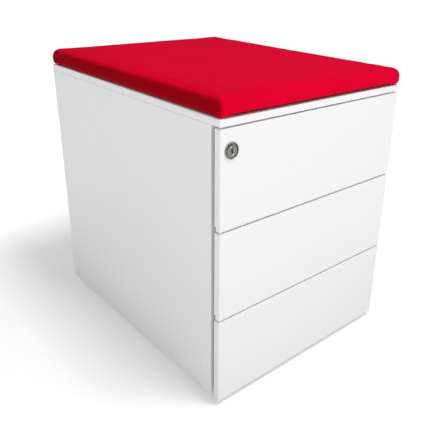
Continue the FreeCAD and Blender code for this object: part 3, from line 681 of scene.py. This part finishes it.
def makeLockFace(spec):
    low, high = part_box("lock_plug")
    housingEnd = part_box("lock_housing")[1].y
    centre = (low + high) / 2
    radius = (high.x - low.x) / 2
    face = alongY("lockFace", radius, low.y + spec["faceBack"], low.y + spec["faceDeep"],
                  centre, spec["sides"])
    pickFaces(face, lambda middle, normal: normal.y > mostly)
    insetBy(radius - spec["core"])
    pushOut((0, housingEnd - low.y - spec["faceDeep"], 0))
    insetBy(spec["core"] - spec["tail"])
    pushOut((0, high.y - housingEnd, 0))
    leaveEdit()
    pickFaces(face, lambda middle, normal: normal.y < -mostly)
    for width, back in spec["faceSteps"]:
        insetBy(width)
        bpy.ops.transform.translate(value=(0, back, 0))
    for side in (-1, 1):
        corner = centre + Vector((side * spec["slotWide"] / 2, 0, side * spec["slotHigh"] / 2))
        for cut in ((1, 0, 0), (0, 0, 1)):
            bpy.ops.mesh.select_all(action="SELECT")
            bpy.ops.mesh.bisect(plane_co=corner, plane_no=cut)
    leaveEdit()
    pickFaces(face, lambda middle, normal: normal.y < -mostly
              and abs(middle.x - centre.x) < spec["slotWide"] / 2
              and abs(middle.z - centre.z) < spec["slotHigh"] / 2)
    pushOut((0, spec["slotDeep"], 0))
    leaveEdit()
    wide, deep, tall = spec["ward"]
    edge = centre.x + spec["slotWide"] / 2
    front = low.y + spec["wardBack"]
    ward = addBlock("lockWard", (edge - wide, front, centre.z - tall / 2),
                    (edge + wide / 2, front + deep, centre.z + tall / 2))
    useModifier(ward, "BEVEL", width=wide * spec["wardRound"], segments=spec["wardSteps"])
    takeUp(face)
    ward.select_set(True)
    bpy.ops.object.join()
    return finishPiece(smooth(face, spec["faceSmooth"]), "lock_core", "lock_nickel", "lock_plug")


makeLockCollar(lockSpec)
makeLockFace(lockSpec)
print("lock made")

screwSpec = {
    "sides": 32,
    "headDeep": 0.0018,
    "headRadius": 0.0038,
    "crown": 0.0006,         # the middle of the head stands this far out
    "crownWide": 0.0011,
    "shank": 0.0019,
    "crossWide": 0.0009,
    "crossLong": 0.0044,
    "crossDeep": 0.0011,
    "smooth": 30,
}


def copyTo(piece, shift):
    takeUp(piece)
    bpy.ops.object.duplicate(linked=False)
    bpy.ops.transform.translate(value=shift)
    return settle(bpy.context.object)


def joinAs(name, pieces):
    takeUp(pieces[0])
    for piece in pieces:
        piece.select_set(True)
    bpy.ops.object.join()
    return named(name)


# a pan head with a cross cut into it, facing the back of the tray
def makeScrew(centre, tip, headBack, spec):
    seat = headBack - spec["headDeep"]
    screw = alongY("trayScrew", spec["headRadius"], seat, headBack - spec["crown"],
                   centre, spec["sides"])
    pickFaces(screw, lambda middle, normal: normal.y < -mostly)
    insetBy(spec["headRadius"] - spec["shank"])
    pushOut((0, tip - seat, 0))
    leaveEdit()
    pickFaces(screw, lambda middle, normal: normal.y > mostly)
    insetBy(spec["crownWide"])
    bpy.ops.transform.translate(value=(0, spec["crown"], 0))
    for side in (-1, 1):
        for half in (spec["crossWide"] / 2, spec["crossLong"] / 2):
            for way in (Vector((1, 0, 0)), Vector((0, 0, 1))):
                bpy.ops.mesh.select_all(action="SELECT")
                bpy.ops.mesh.bisect(plane_co=centre + way * half * side, plane_no=way)
    leaveEdit()

    def inCross(middle, normal):
        across = sorted((abs(middle.x - centre.x), abs(middle.z - centre.z)))
        return (normal.y > mostly and across[0] < spec["crossWide"] / 2
                and across[1] < spec["crossLong"] / 2)

    pickFaces(screw, inCross)
    pushOut((0, -spec["crossDeep"], 0))
    leaveEdit()
    return screw


def makeTrayScrews(drawer, spec):
    low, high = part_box(drawer + "_drawer_screws")
    edge = spec["headRadius"]
    first = makeScrew(Vector((low.x + edge, 0, low.z + edge)), low.y, high.y, spec)
    wide = high.x - low.x - 2 * edge
    tall = high.z - low.z - 2 * edge
    screws = [first]
    for shift in ((wide, 0, 0), (0, 0, tall), (wide, 0, tall)):
        screws.append(copyTo(first, shift))
    screws = joinAs(drawer + "TrayScrews", screws)
    finishPiece(smooth(screws, spec["smooth"]), drawer + "_drawer", "fastener_steel",
                drawer + "_drawer_screws")


traySpec = {
    "sheet": 0.001,
    "beads": 4,              # long ribs pressed up from the floor of each tray
    "beadWide": 0.013,
    "beadHigh": 0.0013,
    "beadEnd": 0.055,        # how far they stop short of the ends of the tray
    "beadGap": 0.072,
    "sink": 0.0004,
    "beadEndRound": 0.96,    # share of half the rib's width
    "beadEndSteps": 8,
    "beadTopRound": 0.9,     # share of its height
    "beadTopSteps": 4,
}


def makeTrayBeads(drawer, spec):
    low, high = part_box(drawer + "_drawer_tray")
    floor = low.z + spec["sheet"]
    half = spec["beadWide"] / 2
    firstX = -spec["beadGap"] * (spec["beads"] - 1) / 2
    bead = addBlock("trayBead", (firstX - half, low.y + spec["beadEnd"], floor - spec["sink"]),
                    (firstX + half, high.y - spec["beadEnd"], floor + spec["beadHigh"]))
    pickEdges(bead, lambda middle, along: abs(along.z) > mostly)
    bevelPicked(half * spec["beadEndRound"], spec["beadEndSteps"])
    pickEdges(bead, lambda middle, along: middle.z > floor and abs(along.z) < hardly)
    bevelPicked(spec["beadHigh"] * spec["beadTopRound"], spec["beadTopSteps"])
    beads = [bead] + [copyTo(bead, (spec["beadGap"] * step, 0, 0))
                      for step in range(1, spec["beads"])]
    finishPiece(smooth(joinAs(drawer + "TrayBeads", beads)), drawer + "_drawer", "frame_steel")


for drawer in ("top", "middle", "bottom"):
    makeTrayScrews(drawer, screwSpec)
    makeTrayBeads(drawer, traySpec)
print("tray fittings made")

studio = {
    "floorSize": 80.0,
    "floorColour": (0.93, 0.93, 0.935, 1),
    "floorSkin": {"Roughness": 0.75, "Specular IOR Level": 0.1, "Emission Strength": 1.0},
    "paintedGlowNear": 0.17,  # painted light: the floor glows, dimmer beside the cabinet as a painted shadow round it, brighter far off
    "paintedGlowFar": 0.62,
    "paintedGlowStart": 0.3,
    "paintedGlowEnd": 1.2,
    "sky": 0.40,
    "aim": (0, 0, 0.3),
    "lights": {
        "keyLight": {"power": 35.0, "place": (0.25, -0.95, 2.8), "size": 0.7},
        "sideLight": {"power": 6.5, "place": (-1.0, -1.8, 1.3), "size": 0.9},
    },
}


def makeFloor(spec):
    clearPick()
    bpy.ops.mesh.primitive_plane_add(size=spec["floorSize"], location=(0, 0, 0))
    floor = named("studioFloor")
    material = bpy.data.materials.new("paleFloorPaintedGlow")
    material.use_nodes = True
    surface = material.node_tree.nodes["Principled BSDF"]
    surface.inputs["Base Color"].default_value = spec["floorColour"]
    for key, value in spec["floorSkin"].items():
        surface.inputs[key].default_value = value
    tree = material.node_tree
    place = tree.nodes.new("ShaderNodeTexCoord")
    far = tree.nodes.new("ShaderNodeVectorMath")
    far.operation = "LENGTH"
    # painted light and painted shadow: the floor's glow grows with distance from the cabinet, so it
    # stays dimmer next to it
    glow = tree.nodes.new("ShaderNodeMapRange")
    glow.interpolation_type = "SMOOTHSTEP"
    for socket, value in (("From Min", spec["paintedGlowStart"]), ("From Max", spec["paintedGlowEnd"]),
                          ("To Min", spec["paintedGlowNear"]), ("To Max", spec["paintedGlowFar"])):
        glow.inputs[socket].default_value = value
    tree.links.new(place.outputs["Object"], far.inputs[0])
    tree.links.new(far.outputs["Value"], glow.inputs["Value"])
    tree.links.new(glow.outputs["Result"], surface.inputs["Emission Color"])
    floor.data.materials.append(material)


def addSoftLight(name, aim, power, place, size):
    data = bpy.data.lights.new(name, "AREA")
    data.energy = power
    data.size = size
    light = bpy.data.objects.new(name, data)
    light.location = place
    light.rotation_euler = (Vector(aim) - Vector(place)).to_track_quat("-Z", "Y").to_euler()
    bpy.context.scene.collection.objects.link(light)


def addSky(strength):
    world = bpy.data.worlds.new("studioSky")
    world.use_nodes = True
    tree = world.node_tree
    back = tree.nodes["Background"]
    back.inputs["Color"].default_value = (1, 1, 1, 1)
    # white where it is seen itself
    seen = put(tree, "ShaderNodeLightPath").outputs["Is Camera Ray"]
    tree.links.new(reach(tree, seen, 0.0, 1.0, strength, 1.0), back.inputs["Strength"])
    bpy.context.scene.world = world


makeFloor(studio)
for lightName, lamp in studio["lights"].items():
    addSoftLight(lightName, studio["aim"], **lamp)
addSky(studio["sky"])
bpy.context.scene.view_settings.view_transform = "Standard"
print("floor and light placed")
